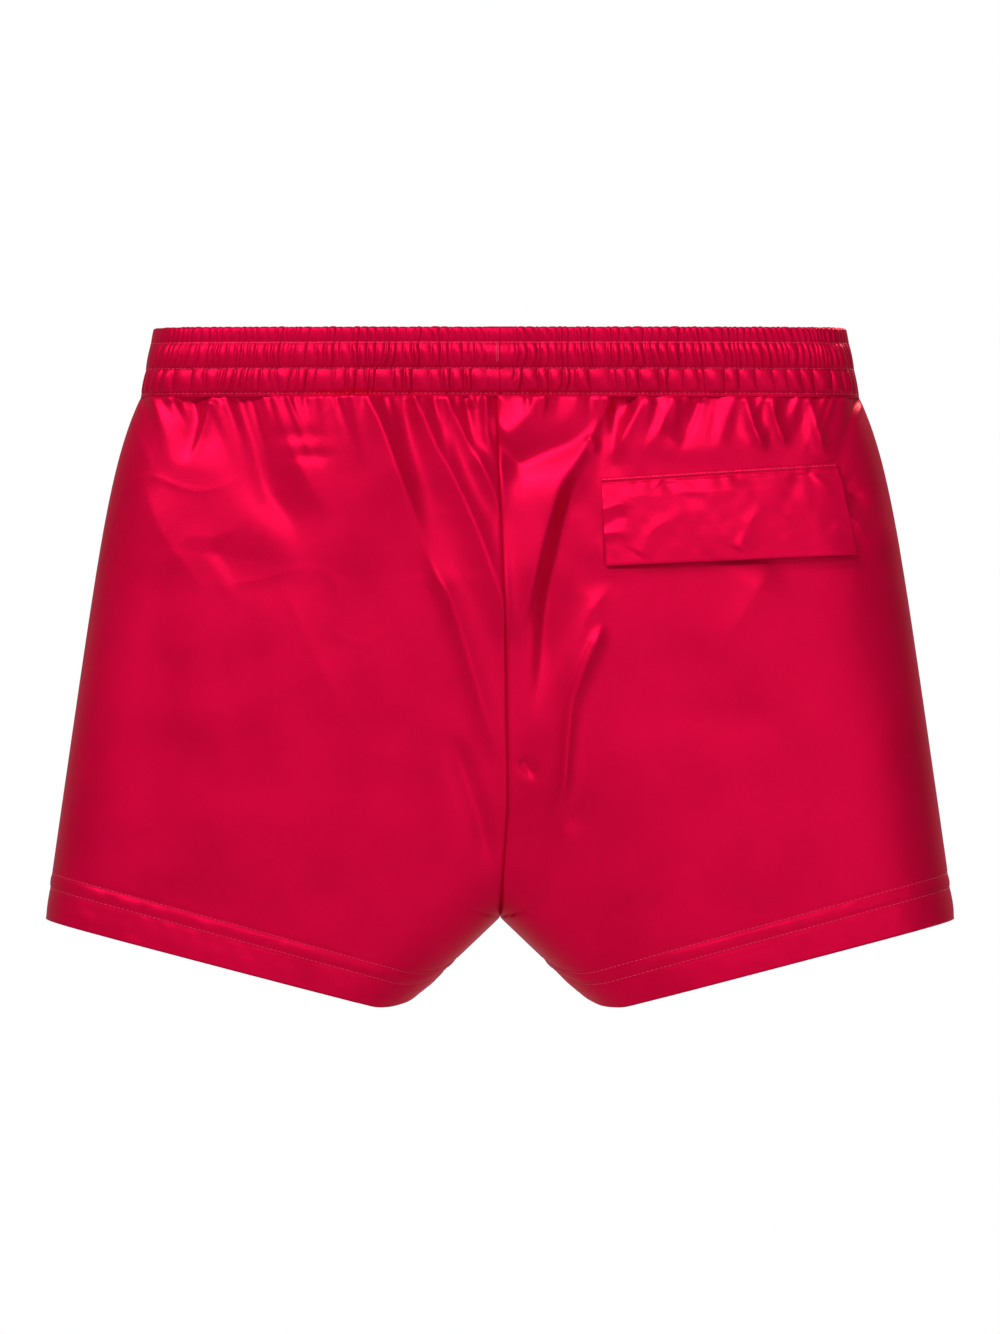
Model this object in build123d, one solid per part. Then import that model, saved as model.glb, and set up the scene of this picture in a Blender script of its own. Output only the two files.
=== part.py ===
"""Short elastic-waist shorts with one flapped back pocket, modelled open as they sit on a body.

Millimetres. The origin is the middle of the waist opening, level with its top edge.
+Z is up, the wearer faces -Y, so the back and its pocket face +Y and the wearer's left is +X.
Each leg is a tube of closed sections that runs from the waist seam to past the hem.
Every layer of cloth is the space between two such tubes, one drawn in further than the other,
within an outline that is extruded from front to back. The right leg mirrors the left one.
"""

import os
from functools import cache
from math import cos, exp, pi, radians, sin, tan

from build123d import *

# The body of the shorts
hem_half_width = 240.6  # side edge to the middle, at the hem
side_length = 313.0  # top edge down to the hem, at the side
rise = 312.0  # top edge down to the crotch point
side_flare = 0.143  # how fast the side edge spreads, downwards
waist_pinch = 11.0  # how far the elastic draws each side in at the waist seam
pinch_length = 32.0  # the depth over which that is let out again
waist_half_depth = 40.0  # middle plane to the cloth at the waist
seat_fullness = 12.0  # how much deeper the back is over the seat
front_fullness = 7.0  # and the front below the waist
fullness_length = 45.0
squareness = 0.07  # 0 is an ellipse, more is a flatter front and back
hem_angle = 14.7  # the hem falls this much from the side towards the crotch
inner_leg_angle = 43.7  # of the inner leg's edge below the horizontal
hem_corner_radius = 30.0  # where the hem turns up into the inner leg
split_curve = 0.0049  # how fast the two leg tubes merge above the crotch
cloth = 0.8  # the shell and one turned layer of it
hem_depth = 26.0  # turned up inside and held by two rows of stitches

# The waistband
waistband_height = 37.0
waist_top_half_width = 183.0
casing_proud = 0.8  # gathers stand out from the shell by this
casing_outer_wall = 1.2
casing_inner_wall = 1.0
casing_fold = 1.2  # thickness of the fold at the top and of the seam at the foot
cord_gap = 1.4  # the drawcord's channel, outside the elastic
elastic_thickness = 1.4
elastic_gap = 0.1  # behind the elastic
elastic_play = 1.0  # between the elastic's edges and the casing
insert_width = 74.0  # the plain piece in the middle of the front's outer wall

# The drawcord's two eyelets, in the plain front piece
eyelet_spacing = 44.0
eyelet_below_top = 14.0
eyelet_bore_radius = 2.5
eyelet_barrel_wall = 0.6
eyelet_flange_radius = 5.0
eyelet_flange = 0.7
eyelet_press = 0.25  # the flange and the washer each press the cloth flat this deep
eyelet_lip = 0.2  # the rolled end of the barrel that holds the washer
eyelet_lip_width = 0.8
washer_thickness = 0.4
flange_play = 0.1
barrel_play = 0.05

# The back pocket, on the wearer's right
flap_middle = 115.5  # middle of the flap's top edge, from the middle of the back
flap_below_top = 79.0
flap_tilt = 3.7  # rising towards the side
flap_width = 125.0
flap_height = 44.0
flap_splay = 3.5  # the lower edge is this much longer at each end
flap_outer_cloth = 0.6
flap_lining_cloth = 0.5
flap_lining_inset = 0.8
tape_thickness = 1.0  # each half of the hook-and-loop tape
tape_gap = 0.4  # between the halves
tape_width = 25.0
tape_height = 16.0
tape_from_end = 8.0
tape_from_foot = 6.0
mouth_below_flap_top = 7.0
mouth_width = 112.0
mouth_height = 2.4
welt_height = 10.0
welt_overlap = 3.0  # past the mouth at each end
welt_cloth = 0.8
bag_width = 128.0
bag_height = 140.0
bag_above_mouth = 12.0
bag_cloth = 0.4
bag_space = 0.8  # between the two layers of the empty bag
bag_seam = 4.0

# Labels inside the back of the waist
care_label_width = 30.0
care_label_height = 55.0
size_label_width = 18.0
size_label_height = 13.0
size_label_below_top = 8.0
label_cloth = 0.4
label_gap = 0.1

past = 6.0  # how far a shape runs past what cuts it
reach = 400.0  # longer than the whole object
section_points = 24

hem_slope = tan(radians(hem_angle))
inner_leg_slope = tan(radians(inner_leg_angle))


def half_width(z):
    """Side edge to the middle at a level, below the waist seam."""
    below = -waistband_height - z
    spread = hem_half_width - side_flare * (side_length + z)
    return spread - waist_pinch * exp(-below / pinch_length)


def half_depth(z, fullness):
    """Middle plane to the cloth at a level, below the waist seam."""
    below = max(-waistband_height - z, 0)
    return waist_half_depth + fullness * (1 - exp(-below / fullness_length))


def crotch_side_level():
    """The side level of the tube section that passes through the crotch point."""
    z = -rise
    for _ in range(20):
        z = -rise + hem_slope * half_width(z)
    return z


crotch_level = crotch_side_level()


def row(z):
    """Outer x, inner x and fall per mm of the tube section whose side edge is at level z."""
    outer = half_width(z)
    above = z - crotch_level
    if above <= 0:
        fall = hem_slope
        inner = (-rise - z + fall * outer) / (inner_leg_slope + fall)
    else:
        share = above / (-waistband_height - crotch_level)
        fall = hem_slope * (1 - min(share, 1) ** 2)
        start = 1 / (inner_leg_slope + hem_slope)
        inner = max(-start * above - split_curve * above**2, -outer)
    return outer, inner, fall


def loop(outer, inner, front_depth, back_depth, level):
    """A closed squared ellipse from inner to outer x, at the height level(x)."""
    middle = (outer + inner) / 2
    radius = (outer - inner) / 2
    points = []
    for i in range(section_points):
        a = 2 * pi * i / section_points
        x = middle + radius * (cos(a) - squareness * cos(3 * a)) / (1 - squareness)
        depth = back_depth if a < pi else front_depth
        y = depth * (sin(a) + squareness * sin(3 * a)) / (1 - squareness)
        points.append((x, y, level(x)))
    return Face(Wire([Edge.make_spline(points, periodic=True)]))


def section(z, inward):
    """The left leg's tube section at side level z, drawn in by inward all round."""
    outer, inner, fall = row(z)
    return loop(
        outer - inward,
        inner + inward,
        half_depth(z, front_fullness) - inward,
        half_depth(z, seat_fullness) - inward,
        lambda x: z - fall * (outer - x),
    )


@cache
def tube(inward):
    """The left leg's tube as a solid, from above the waist seam to past the hem."""
    top = -waistband_height
    hem = -side_length
    levels = [top + past, top]
    levels += [top + share * (crotch_level - top) for share in (0.12, 0.28, 0.5, 0.72, 0.88, 1)]
    levels += [(crotch_level + hem) / 2, hem, hem - 4 * past]
    return loft([section(z, inward) for z in levels])


def layer(outside, inside, region):
    """The cloth in a region between two depths below the shell's outer surface, on the left leg."""
    return (tube(outside) & region) - tube(inside)


def block(outline, low=-reach, high=reach):
    """A face drawn in x and z, extruded from one y to another."""
    return Pos(0, high, 0) * extrude(Plane.XZ * outline, high - low)


def rectangle(x1, x2, foot, top):
    return Pos((x1 + x2) / 2, (foot + top) / 2) * Rectangle(x2 - x1, top - foot)


def leg_outline(up):
    """Face of the left half above the hem, or above a line that much further up the leg."""
    lift = up / cos(radians(hem_angle))
    side = hem_half_width + past
    slack = 0.5 / cos(radians(inner_leg_angle))  # keeps the outline off the tube's own edge
    fall = hem_slope * hem_half_width + side_length - rise - lift - slack
    corner = fall / (inner_leg_slope + hem_slope)
    points = [
        (0, -rise - slack),
        (corner, -rise - slack - inner_leg_slope * corner),
        (side, -side_length + lift + hem_slope * past),
        (side, -waistband_height),
        (0, -waistband_height),
    ]
    face = make_face(Polyline(*points, close=True))
    return fillet(face.vertices().sort_by(Axis.Y)[0], hem_corner_radius)


def right(shape):
    """The same shape on the wearer's right."""
    return mirror(shape, about=Plane.YZ)


def left_panel(back):
    """A quarter of the shell, back or front, with its hem turned up inside."""
    to_middle, beyond = (0, reach), (-past, reach)
    if not back:
        to_middle, beyond = (-reach, 0), (-reach, past)
    panel = tube(0) & block(leg_outline(0), *to_middle)
    panel -= tube(cloth) & block(leg_outline(hem_depth), *beyond)
    return panel - tube(2 * cloth)


def flap_point(along, down):
    """x and z of a point of the flap: along its top edge from the middle, and down from it."""
    tilt = radians(flap_tilt)
    x = flap_middle + along * cos(tilt) + down * sin(tilt)
    z = -flap_below_top + along * sin(tilt) - down * cos(tilt)
    return x, z


def flap_patch(from_along, to_along, from_down, to_down, splay=0.0):
    """A patch square to the flap, on the back, its lower edge longer at each end by splay."""
    corners = [
        flap_point(from_along, from_down),
        flap_point(to_along, from_down),
        flap_point(to_along + splay, to_down),
        flap_point(from_along - splay, to_down),
    ]
    return block(make_face(Polyline(*corners, close=True)), 0)


def waist_loop(inward, z):
    """The waistband's closed section at a level, drawn in by inward."""
    seam = half_width(-waistband_height)
    share = -z / waistband_height
    width = waist_top_half_width + share * (seam - waist_top_half_width) - inward
    depth = waist_half_depth - inward
    return loop(width, -width, depth, depth, lambda x: z)


@cache
def waist_tube(inward, foot=-waistband_height):
    """The waistband's inside as a solid, running past its top and past its foot or a lower level."""
    return loft([waist_loop(inward, past), waist_loop(inward, foot - past)])


def waist_layer(outside, inside, region):
    """The cloth in a region between two depths of the waistband."""
    return (waist_tube(outside) & region) - waist_tube(inside)


# Depths below the shell's outer surface, from the outside in
channel_outside = casing_outer_wall - casing_proud
elastic_outside = channel_outside + cord_gap
elastic_inside = elastic_outside + elastic_thickness
channel_inside = elastic_inside + elastic_gap
casing_inside = channel_inside + casing_inner_wall


def casing(x1, x2, low, high):
    """A stretch of the waistband casing, hollow for the elastic and the cord."""
    foot = -waistband_height
    whole = waist_layer(-casing_proud, casing_inside, block(rectangle(x1, x2, foot, 0), low, high))
    hollow = block(rectangle(x1 - past, x2 + past, foot + casing_fold, -casing_fold))
    return whole - waist_layer(channel_outside, channel_inside, hollow)


def front_insert_region():
    """The window in the front's outer wall that the plain middle piece fills."""
    half = insert_width / 2
    face = rectangle(-half, half, casing_fold - waistband_height, -casing_fold)
    return block(face, high=0)


def front_left_casing():
    casing_half = casing(0, reach, -reach, 0)
    return casing_half - (front_insert_region() - waist_tube(channel_outside))


def elastic():
    """The closed loop of elastic, made of two mirrored halves."""
    margin = casing_fold + elastic_play
    face = rectangle(0, reach, margin - waistband_height, -margin)
    half = waist_layer(elastic_outside, elastic_inside, block(face))
    return half + right(half)


# The eyelets' places along y, from the front inwards
wall_front = -(waist_half_depth + casing_proud)
wall_back = -(waist_half_depth - channel_outside)
flange_front = wall_front + eyelet_press - eyelet_flange
flange_back = wall_front + eyelet_press
washer_front = wall_back - eyelet_press
washer_back = washer_front + washer_thickness
lip_back = washer_back + eyelet_lip
barrel_radius = eyelet_bore_radius + eyelet_barrel_wall
hole_radius = barrel_radius + barrel_play


def disc(radius, front, back, x):
    """A flat disc about an axis along y, at the height of the eyelets."""
    turned = Rot(90, 0, 0) * Cylinder(radius, back - front)
    return Pos(x, (front + back) / 2, -eyelet_below_top) * turned


def eyelet(x):
    """A flanged barrel whose end is rolled over its washer."""
    lip_radius = barrel_radius + eyelet_lip_width
    body = disc(eyelet_flange_radius, flange_front, flange_back, x)
    body += disc(barrel_radius, flange_back, washer_back, x)
    body += disc(lip_radius, washer_back, lip_back, x)
    return body - disc(eyelet_bore_radius, flange_front - past, lip_back + past, x)


def washer(x):
    ring = disc(eyelet_flange_radius, washer_front, washer_back, x)
    return ring - disc(hole_radius, washer_front - past, washer_back + past, x)


def front_insert():
    """The plain middle piece, punched for the eyelets and pressed flat under their rims."""
    insert = waist_layer(-casing_proud, channel_outside, front_insert_region())
    seat_radius = eyelet_flange_radius + flange_play
    for x in (-eyelet_spacing / 2, eyelet_spacing / 2):
        insert -= disc(hole_radius, wall_front - past, wall_back + past, x)
        insert -= disc(seat_radius, wall_front - past, flange_back, x)
        insert -= disc(seat_radius, washer_front, wall_back + past, x)
    return insert


# The pocket's depths outside the shell, so they are negative
loop_outside = -tape_thickness
hook_inside = loop_outside - tape_gap
hook_outside = hook_inside - tape_thickness
lining_outside = hook_outside - flap_lining_cloth
flap_outside = lining_outside - flap_outer_cloth
bag_outer_inside = cloth + bag_cloth
bag_inner_outside = bag_outer_inside + bag_space
bag_inner_inside = bag_inner_outside + bag_cloth


def mouth():
    """The pocket's slit, cut through the back and the bag's outer layer."""
    half = mouth_width / 2
    foot = mouth_below_flap_top + mouth_height
    return flap_patch(-half, half, mouth_below_flap_top, foot)


def tape_patches():
    """The two places of the hook-and-loop tape, near the flap's lower corners."""
    outer = flap_width / 2 - tape_from_end
    foot = flap_height - tape_from_foot
    spans = ((outer - tape_width, outer), (-outer, -outer + tape_width))
    return [flap_patch(*span, foot - tape_height, foot) for span in spans]


def tapes(outside, inside):
    """The two patches of one half of the tape, as two solids of one piece."""
    return Compound([layer(outside, inside, patch).solid() for patch in tape_patches()])


def welt():
    """The folded strip along the lower lip of the mouth."""
    half = mouth_width / 2 + welt_overlap
    top = mouth_below_flap_top + mouth_height
    return layer(-welt_cloth, 0, flap_patch(-half, half, top, top + welt_height))


def bag_patch(inset):
    half = bag_width / 2 - inset
    top = mouth_below_flap_top - bag_above_mouth
    return flap_patch(-half, half, top + inset, top + bag_height - inset)


def bag_outer():
    return layer(cloth, bag_outer_inside, bag_patch(0)) - mouth()


def bag_inner():
    """The bag's inner layer, with the seam all round that joins it to the outer one."""
    hollow = layer(bag_outer_inside, bag_inner_outside, bag_patch(bag_seam))
    return layer(bag_outer_inside, bag_inner_inside, bag_patch(0)) - hollow


def flap_outer():
    half = flap_width / 2
    patch = flap_patch(-half, half, 0, flap_height, flap_splay)
    return layer(flap_outside, lining_outside, patch)


def flap_lining():
    half = flap_width / 2 - flap_lining_inset
    patch = flap_patch(-half, half, 0, flap_height - flap_lining_inset, flap_splay)
    return layer(lining_outside, hook_outside, patch)


def flap_hinge(flap):
    """A point of the line that the flap turns about, and its direction, for the right side.

    The line is parallel to the chord of the top edge, level with the edge's outermost point.
    """
    edge = flap.faces().sort_by(Axis.Z)[-1].edges().sort_by(SortBy.LENGTH)[-1]
    start, end = sorted([edge @ 0, edge @ 1], key=lambda point: point.X)
    line = (end - start).normalized()
    spots = [edge @ (step / 40) for step in range(41)]
    outermost = max(spots, key=lambda spot: (spot - start).cross(line).length)
    return Vector(-outermost.X, outermost.Y, outermost.Z), Vector(line.X, -line.Y, -line.Z)


def label(width, top, height):
    """A label behind the middle of the back of the waistband, hanging on below it."""
    foot = top - height
    region = block(rectangle(-width / 2, width / 2, foot, top), 0)
    lowest = min(foot, -waistband_height)
    outside = casing_inside + label_gap
    return (waist_tube(outside, lowest) & region) - waist_tube(outside + label_cloth, lowest)


def build():
    """Every separate piece of the shorts, by name."""
    front_left = left_panel(back=False)
    back_left = left_panel(back=True)
    front_casing = front_left_casing()
    back_casing = casing(0, reach, 0, reach)
    pieces = {
        "front_panel_left": front_left,
        "front_panel_right": right(front_left),
        "back_panel_left": back_left,
        "back_panel_right": right(back_left - mouth()),
        "waistband_front_left": front_casing,
        "waistband_front_right": right(front_casing),
        "waistband_front_middle": front_insert(),
        "waistband_back_left": back_casing,
        "waistband_back_right": right(back_casing),
        "waist_elastic": elastic(),
        "pocket_flap_outer": right(flap_outer()),
        "pocket_flap_lining": right(flap_lining()),
        "flap_hook_tape": right(tapes(hook_outside, hook_inside)),
        "pocket_loop_tape": right(tapes(loop_outside, 0)),
        "pocket_welt": right(welt()),
        "pocket_bag_outer": right(bag_outer()),
        "pocket_bag_inner": right(bag_inner()),
        "care_label": label(
            care_label_width,
            casing_fold - waistband_height,
            care_label_height,
        ),
        "size_label": label(size_label_width, -size_label_below_top, size_label_height),
    }
    for side, x in (("left", eyelet_spacing / 2), ("right", -eyelet_spacing / 2)):
        pieces["eyelet_" + side] = eyelet(x)
        pieces["eyelet_washer_" + side] = washer(x)
    return pieces


os.makedirs("parts", exist_ok=True)
pieces = build()
for name, piece in pieces.items():
    export_step(piece, os.path.join("parts", name + ".step"))
point, line = flap_hinge(right(pieces["pocket_flap_outer"]))
print("flap hinge through", point, "along", line)
print("eyelet bore from y", flange_front, "to", lip_back)
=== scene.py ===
import bpy
import numpy as np
from math import pi, radians, tan
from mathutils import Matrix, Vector


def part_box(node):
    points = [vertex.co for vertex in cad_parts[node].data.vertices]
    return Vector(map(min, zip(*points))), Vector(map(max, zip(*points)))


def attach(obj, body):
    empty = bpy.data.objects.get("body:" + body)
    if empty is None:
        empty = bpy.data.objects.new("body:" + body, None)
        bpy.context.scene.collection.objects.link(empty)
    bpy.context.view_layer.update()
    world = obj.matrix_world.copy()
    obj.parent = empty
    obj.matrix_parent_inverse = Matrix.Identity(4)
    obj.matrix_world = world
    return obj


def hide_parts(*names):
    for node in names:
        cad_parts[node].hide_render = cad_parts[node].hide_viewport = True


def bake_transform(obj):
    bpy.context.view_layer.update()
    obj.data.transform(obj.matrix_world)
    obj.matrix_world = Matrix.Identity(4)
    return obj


# Short satin shorts, open as they are worn.
# Metres. The wearer faces -Y, the wearer's left is +X, and the waist's top edge is at z = 0.

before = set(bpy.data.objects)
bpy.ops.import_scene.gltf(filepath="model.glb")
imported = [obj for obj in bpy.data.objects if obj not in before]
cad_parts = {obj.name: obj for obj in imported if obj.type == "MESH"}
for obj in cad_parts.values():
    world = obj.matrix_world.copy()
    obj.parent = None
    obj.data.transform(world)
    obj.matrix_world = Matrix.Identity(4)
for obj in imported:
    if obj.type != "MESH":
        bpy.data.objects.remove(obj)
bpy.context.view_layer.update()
bpy.ops.object.select_all(action="DESELECT")
mm = 0.001

shape = {
    "hemHalfWidth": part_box("back_panel_left")[1].x,
    "bandHeight": -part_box("waistband_back_left")[0].z,
    "sideLength": 313 * mm,
    "rise": 312 * mm,
    "sideFlare": 0.143,
    "waistPinch": 11 * mm,
    "pinchLength": 32 * mm,
    "topHalfWidth": 183 * mm,
    "waistHalfDepth": 40 * mm,
    "seatFullness": 12 * mm,
    "frontFullness": 7 * mm,
    "fullnessLength": 45 * mm,
    "squareness": 0.07,
    "hemSlope": tan(radians(14.7)),
    "innerLegSlope": tan(radians(43.7)),
    "hemCornerRadius": 30 * mm,
    "splitCurve": 4.9,
    "cloth": 0.55 * mm,
    "hemDepth": 26 * mm,
    "seamTuck": 5 * mm,  # how far the panels run up behind the waistband's foot
}
bandFoot = -shape["bandHeight"]
lattice = {"weights": (127.1, 311.7, 74.7), "scale": 43758.5453, "shift": 500}


def smooth(value):
    value = np.clip(value, 0, 1)
    return value * value * (3 - 2 * value)


def bell(value, middle, width):
    # 1 in the middle, falling smoothly to 0 on both sides
    return np.exp(-(((value - middle) / width) ** 2))


def randomGrid(ix, iz, seed):
    forX, forZ, forSeed = lattice["weights"]
    value = np.sin(ix * forX + iz * forZ + seed * forSeed) * lattice["scale"]
    return 2 * (value - np.floor(value)) - 1


def noise(x, z, size, seed):
    # Smooth values from -1 to 1 that change over about one size
    gx, gz = x / size + lattice["shift"], z / size + lattice["shift"]
    ix, iz = np.floor(gx), np.floor(gz)
    fx, fz = smooth(gx - ix), smooth(gz - iz)
    low = randomGrid(ix, iz, seed) * (1 - fx) + randomGrid(ix + 1, iz, seed) * fx
    high = randomGrid(ix, iz + 1, seed) * (1 - fx) + randomGrid(ix + 1, iz + 1, seed) * fx
    return low * (1 - fz) + high * fz


def runAlong(points, axis=0):
    # Length along each line of points, from its start
    step = np.linalg.norm(np.diff(points, axis=axis), axis=-1)
    return np.insert(np.cumsum(step, axis=axis), 0, 0, axis=axis)


def unit(vectors):
    return vectors / np.maximum(np.linalg.norm(vectors, axis=-1, keepdims=True), 1e-12)


crease = {
    "points": 28,
    "crestRound": 0.9 * mm,
    "hollowRound": 3.15 * mm,
    "tail": 0.35,  # how soon a fold's sides die away past its width
    "bandFade": 0.03,  # a fold that fades in sooner comes out from under the waistband
    "bandSteps": 4,  # such a fold's line starts this many first steps higher up
}


def curveThrough(points, count=crease["points"]):
    # Points along a smooth line through three or more given ones
    p = np.array(points, float) * mm
    p = np.vstack([2 * p[0] - p[1], p, 2 * p[-1] - p[-2]])
    out = []
    spans = len(p) - 3
    for t in np.linspace(0, spans - 1e-6, count):
        i = int(t)
        f = t - i
        a, b, c, d = p[i : i + 4]
        out.append(
            0.5 * (2 * b + (c - a) * f + (2 * a - 5 * b + 4 * c - d) * f**2
                   + (3 * b - a - 3 * c + d) * f**3)
        )
    return np.array(out)


def foldRelief(x, z, points, height, left, right, fadeIn, fadeOut):
    # A creased fold along a line: its height, and how wide it is to its left and right, in mm
    if fadeIn < crease["bandFade"]:
        (x0, z0), (x1, z1) = points[:2]
        more = crease["bandSteps"]
        points = [(x0 + more * (x0 - x1), z0 + more * (z0 - z1))] + points
        fadeOut *= (len(points) - 2) / (len(points) - 1)
    line = curveThrough(points)
    best = np.full(x.shape, 1e9)
    signed = np.zeros(x.shape)
    along = np.zeros(x.shape)
    steps = len(line) - 1
    for i in range(steps):
        a = line[i]
        d = line[i + 1] - a
        px, pz = x - a[0], z - a[1]
        t = np.clip((px * d[0] + pz * d[1]) / (d @ d), 0, 1)
        qx, qz = px - t * d[0], pz - t * d[1]
        far = qx * qx + qz * qz
        near = far < best
        best = np.where(near, far, best)
        side = np.sign(d[0] * qz - d[1] * qx)
        signed = np.where(near, side * np.sqrt(far), signed)
        along = np.where(near, (i + t) / steps, along)
    # A stroke drawn downwards has the wearer's left, towards +X, on its positive side
    width = np.where(signed > 0, left, right) * mm
    fade = smooth(along / max(fadeIn, 1e-3)) * smooth((1 - along) / max(fadeOut, 1e-3))
    blunt = crease["crestRound" if height > 0 else "hollowRound"]
    away = (np.sqrt(signed**2 + blunt**2) - blunt) / width
    return height * mm * fade * np.exp(-away - crease["tail"] * away * away)


def dent(x, z, at, height, across, down):
    # A round hollow or swelling
    dx = (x - at[0] * mm) / (across * mm)
    dz = (z - at[1] * mm) / (down * mm)
    return height * mm * np.exp(-dx * dx - dz * dz)


hemSlope = shape["hemSlope"]
innerSlope = shape["innerLegSlope"]
solving = {"halvings": 42, "crotchSteps": 30, "depthSteps": 60, "ease": 0.5, "ringPoints": 241, "tiny": 1e-7}


def halfWidth(s):
    below = bandFoot - s
    spread = shape["hemHalfWidth"] - shape["sideFlare"] * (shape["sideLength"] + s)
    return spread - shape["waistPinch"] * np.exp(-below / shape["pinchLength"])


def crotchSideLevel():
    level = -shape["rise"]
    for _ in range(solving["crotchSteps"]):
        level = -shape["rise"] + hemSlope * float(halfWidth(level))
    return level


crotchLevel = crotchSideLevel()


def legRow(s):
    # Outer x, inner x and fall of the sections whose side edges are at the levels s
    outer = halfWidth(s)
    above = s - crotchLevel
    share = np.clip(above / (bandFoot - crotchLevel), 0, 1)
    fall = hemSlope * (1 - share**2)
    under = (-shape["rise"] - s + fall * outer) / (innerSlope + fall)
    over = -above / (innerSlope + hemSlope) - shape["splitCurve"] * above**2
    inner = np.where(above <= 0, under, np.maximum(over, -outer))
    return outer, inner, fall


def ringX(a):
    q = shape["squareness"]
    return (np.cos(a) - q * np.cos(3 * a)) / (1 - q)


def ringY(a):
    q = shape["squareness"]
    return (np.sin(a) + q * np.sin(3 * a)) / (1 - q)


def angleAt(ratio):
    # The angle where ringX has this value
    low = np.zeros(np.shape(ratio))
    high = np.full(np.shape(ratio), pi)
    for _ in range(solving["halvings"]):
        a = (low + high) / 2
        over = ringX(a) > ratio
        low, high = np.where(over, a, low), np.where(over, high, a)
    return (low + high) / 2


def halfDepth(s, fullness):
    below = np.maximum(bandFoot - s, 0)
    return shape["waistHalfDepth"] + fullness * (1 - np.exp(-below / shape["fullnessLength"]))


def legGrid(levels, columns, fullness):
    # Rows at the levels, columns evenly spaced from the side seam to the middle or inner seam
    outer, inner, fall = legRow(levels)
    middle, radius = (outer + inner) / 2, (outer - inner) / 2
    depth = halfDepth(levels, fullness)
    last = np.where(inner > 0, pi, angleAt(-middle / radius))
    a = np.linspace(0, 1, solving["ringPoints"])[None, :] * last[:, None]
    x = middle[:, None] + radius[:, None] * ringX(a)
    y = depth[:, None] * ringY(a)
    run = runAlong(np.stack([x, y], -1), 1)
    grid = np.zeros((len(levels), columns, 3))
    for i in range(len(levels)):
        want = np.linspace(0, run[i, -1], columns)
        angle = np.interp(want, run[i], a[i])
        grid[i, :, 0] = middle[i] + radius[i] * ringX(angle)
        grid[i, :, 1] = depth[i] * ringY(angle)
        grid[i, :, 2] = levels[i] - fall[i] * (outer[i] - grid[i, :, 0])
    return grid


def hemLine(x):
    # Height of the hem over x, with its turn up into the inner leg
    r = shape["hemCornerRadius"]
    straight = -shape["sideLength"] - hemSlope * (shape["hemHalfWidth"] - x)
    inner = -shape["rise"] - innerSlope * x
    drop = hemSlope * shape["hemHalfWidth"] + shape["sideLength"] - shape["rise"]
    corner = drop / (innerSlope + hemSlope)
    lean, rise = np.arctan(innerSlope), np.arctan(hemSlope)
    half = (pi - lean - rise) / 2
    cornerZ = -shape["rise"] - innerSlope * corner
    toCentre = (rise + (pi - lean)) / 2
    cx = corner + r / np.sin(half) * np.cos(toCentre)
    cz = cornerZ + r / np.sin(half) * np.sin(toCentre)
    first, last = cx - r * np.sin(lean), cx + r * np.sin(rise)
    arc = cz - np.sqrt(np.maximum(r * r - (x - cx) ** 2, 0))
    return np.where(x < first, inner, np.where(x > last, straight, arc))


def cutAtHem(grid, rows):
    # The grid again with its last row on the hem's own line, and a run of rows above it
    columns = grid.shape[1]
    out = np.zeros((len(rows), columns, 3))
    for j in range(columns):
        line = grid[:, j]
        past = line[:, 2] - hemLine(line[:, 0])
        under = np.nonzero(past[len(past) // 2 :] < -solving["tiny"])[0]
        k = len(past) // 2 + under[0] if len(under) else len(past) - 1
        f = past[k - 1] / (past[k - 1] - past[k]) if len(under) else 1
        end = k - 1 + f
        at = rows * end
        for axis in range(3):
            out[:, j, axis] = np.interp(at, np.arange(len(line)), line[:, axis])
    return out


def gridNormals(grid):
    down = np.gradient(grid, axis=0)
    over = np.gradient(grid, axis=1)
    return unit(np.cross(down, over))


def shellY(x, z, fullness):
    # Depth of the undisturbed back or front over points of the left half
    s = np.array(z, float)
    for _ in range(solving["depthSteps"]):
        outer, inner, fall = legRow(s)
        s = s + solving["ease"] * (z + fall * (outer - x) - s)
    outer, inner, fall = legRow(s)
    middle, radius = (outer + inner) / 2, (outer - inner) / 2
    a = angleAt(np.clip((x - middle) / radius, -1, 1))
    return halfDepth(s, fullness) * ringY(a)


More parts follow.
